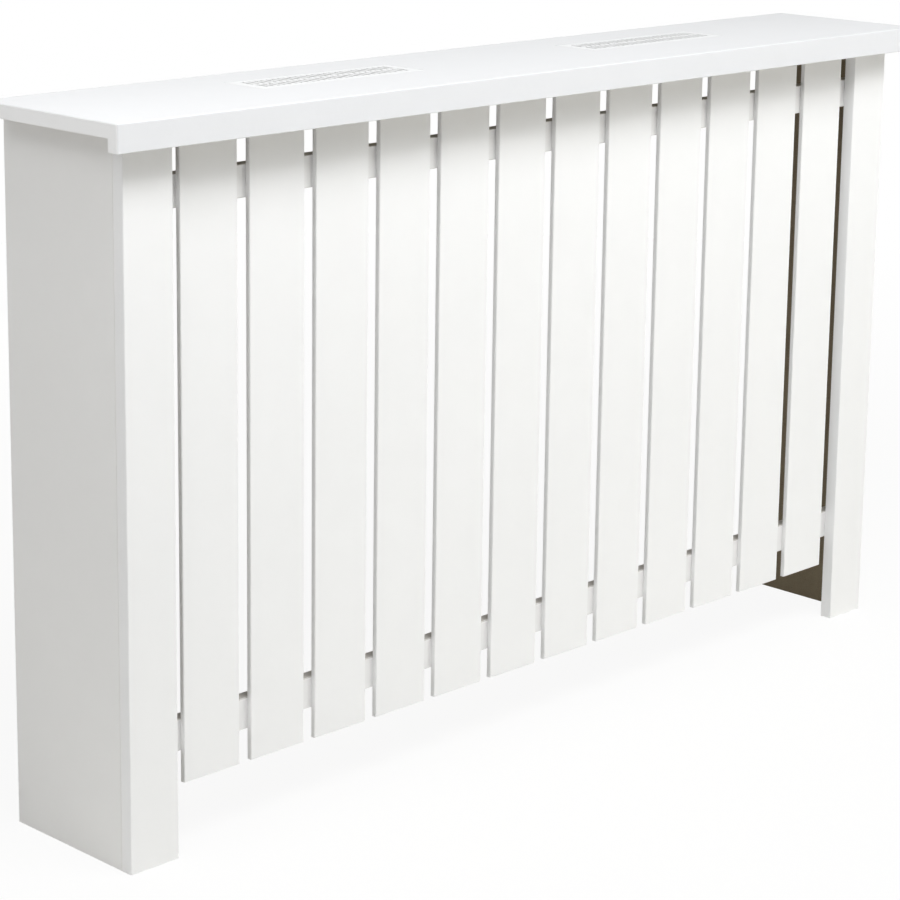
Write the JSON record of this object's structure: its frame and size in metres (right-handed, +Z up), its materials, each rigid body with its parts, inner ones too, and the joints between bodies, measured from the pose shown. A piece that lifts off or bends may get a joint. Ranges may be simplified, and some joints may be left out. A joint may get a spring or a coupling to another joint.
{
  "type": "radiator cover cabinet",
  "caption": "White painted cover that stands over a wall radiator: side panels, front stiles, upright slats on rails, and a shelf top with vent grilles.",
  "frame": {"origin": "on the floor, under the middle of the top board", "axes": "+X along the front to the right as seen from the room, +Y from the room to the wall, +Z up"},
  "size_m": [1.356, 0.228, 0.815],
  "materials": {
    "painted_board": "white satin paint on fibreboard, bare brown fibreboard inside",
    "painted_slat": "white satin paint on thin fibreboard",
    "vent_plastic": "moulded, satin",
    "dowel_wood": "bare beech",
    "cast_zinc": "as cast, dull",
    "plated_steel": "bright zinc plate"
  },
  "bodies": {
    "root": {"top_panel": "painted_board", "front_lip": "painted_board", "side_panel_left": "painted_board", "side_panel_right": "painted_board", "stile_left": "painted_board", "stile_right": "painted_board", "rail_lower": "painted_board", "rail_upper": "painted_board", "slat_01": "painted_slat", "slat_02": "painted_slat", "slat_03": "painted_slat", "slat_04": "painted_slat", "slat_05": "painted_slat", "slat_06": "painted_slat", "slat_07": "painted_slat", "slat_08": "painted_slat", "slat_09": "painted_slat", "slat_10": "painted_slat", "slat_11": "painted_slat", "slat_12": "painted_slat", "vent_grille_left": "vent_plastic", "vent_grille_right": "vent_plastic", "rail_staples": "plated_steel", "stile_dowels": "dowel_wood", "stile_bolts": "plated_steel", "panel_cams": "cast_zinc", "top_brackets": "plated_steel", "wall_brackets": "plated_steel"}
  },
  "joints": []
}
